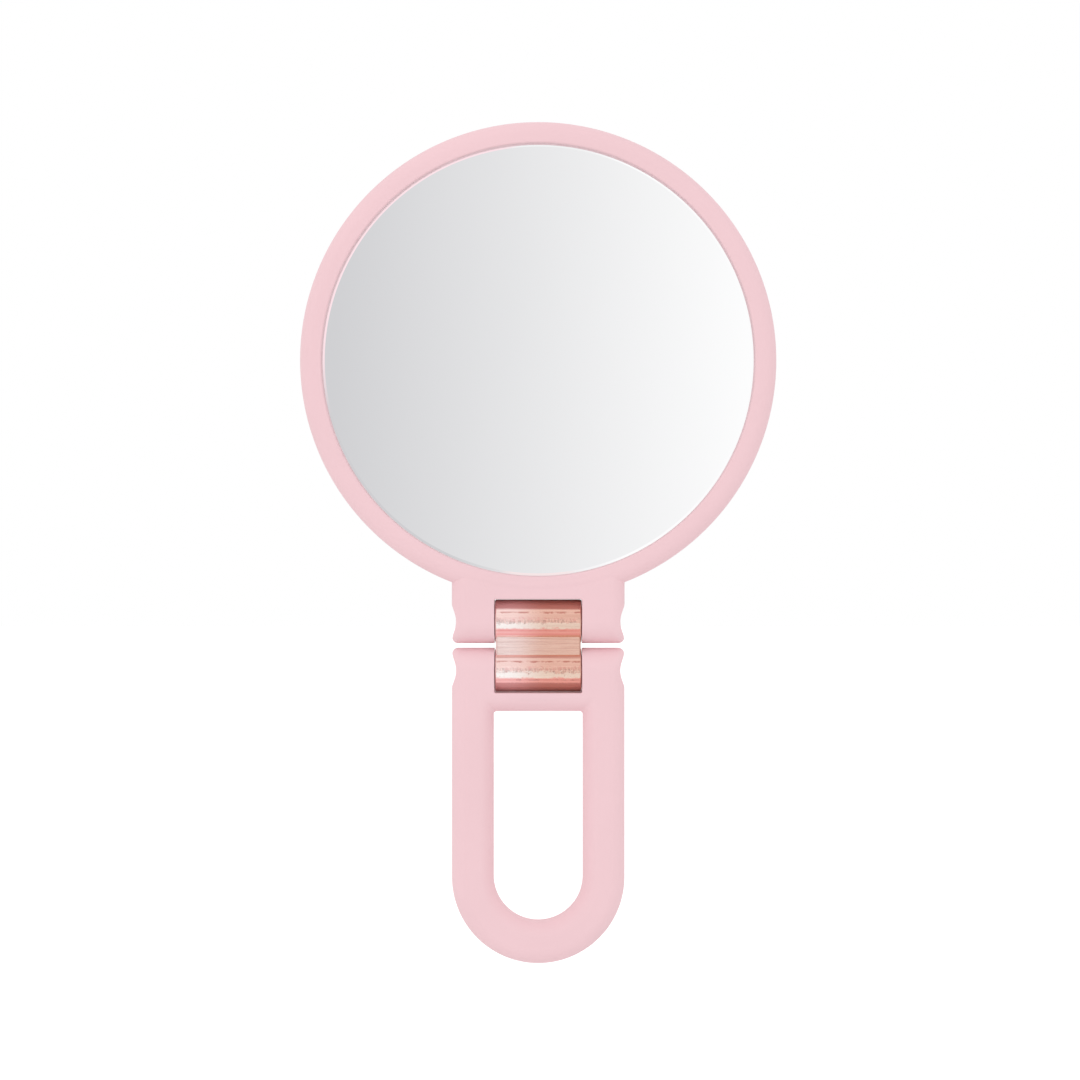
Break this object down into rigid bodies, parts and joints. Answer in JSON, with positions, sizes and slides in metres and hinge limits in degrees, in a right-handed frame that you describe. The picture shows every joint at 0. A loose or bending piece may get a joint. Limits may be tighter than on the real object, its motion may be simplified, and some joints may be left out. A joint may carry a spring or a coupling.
{
  "type": "folding hand mirror",
  "caption": "Double-sided round hand mirror with a loop handle and a two-axis friction hinge that folds the head flat on the handle.",
  "frame": {"origin": "centre of the handle's loop opening, in the middle plane, where the hand holds it", "axes": "+Z along the handle towards the head, +X across the handle, +Y towards the magnifying side; the flat glass faces -Y"},
  "size_m": [0.14, 0.0136, 0.2473],
  "materials": {
    "soft_touch_pink": "soft-touch satin pink",
    "rose_gold": "metal-plated, rose gold",
    "mirror_silver": "silvered glass",
    "pivot_steel": "ground",
    "nylon": "moulded, natural",
    "gasket_rubber": "matt"
  },
  "bodies": {
    "handle": {"handle_front_shell": "soft_touch_pink", "handle_rear_shell": "soft_touch_pink", "lower_pin": "pivot_steel", "lower_pin_cap_left": "soft_touch_pink", "lower_pin_cap_right": "soft_touch_pink"},
    "link": {"hinge_link": "rose_gold", "lower_sleeve_left": "pivot_steel", "lower_sleeve_right": "pivot_steel", "upper_sleeve_left": "pivot_steel", "upper_sleeve_right": "pivot_steel", "lower_washer_left": "nylon", "lower_washer_right": "nylon", "upper_washer_left": "nylon", "upper_washer_right": "nylon"},
    "head": {"head_front_shell": "soft_touch_pink", "head_rear_shell": "soft_touch_pink", "front_glass": "mirror_silver", "magnifying_glass": "mirror_silver", "front_gasket": "gasket_rubber", "rear_gasket": "gasket_rubber", "glass_spacer": "nylon", "upper_pin": "pivot_steel", "upper_pin_cap_left": "soft_touch_pink", "upper_pin_cap_right": "soft_touch_pink"}
  },
  "joints": [
    {"name": "lower_fold", "type": "hinge", "parent": "handle", "child": "link", "pos_m": [0, 0, 0.04295], "axis": [1, 0, 0], "range_deg": [-90, 90]},
    {"name": "upper_fold", "type": "hinge", "parent": "link", "child": "head", "pos_m": [0, 0, 0.05735], "axis": [1, 0, 0], "range_deg": [-90, 90]}
  ]
}
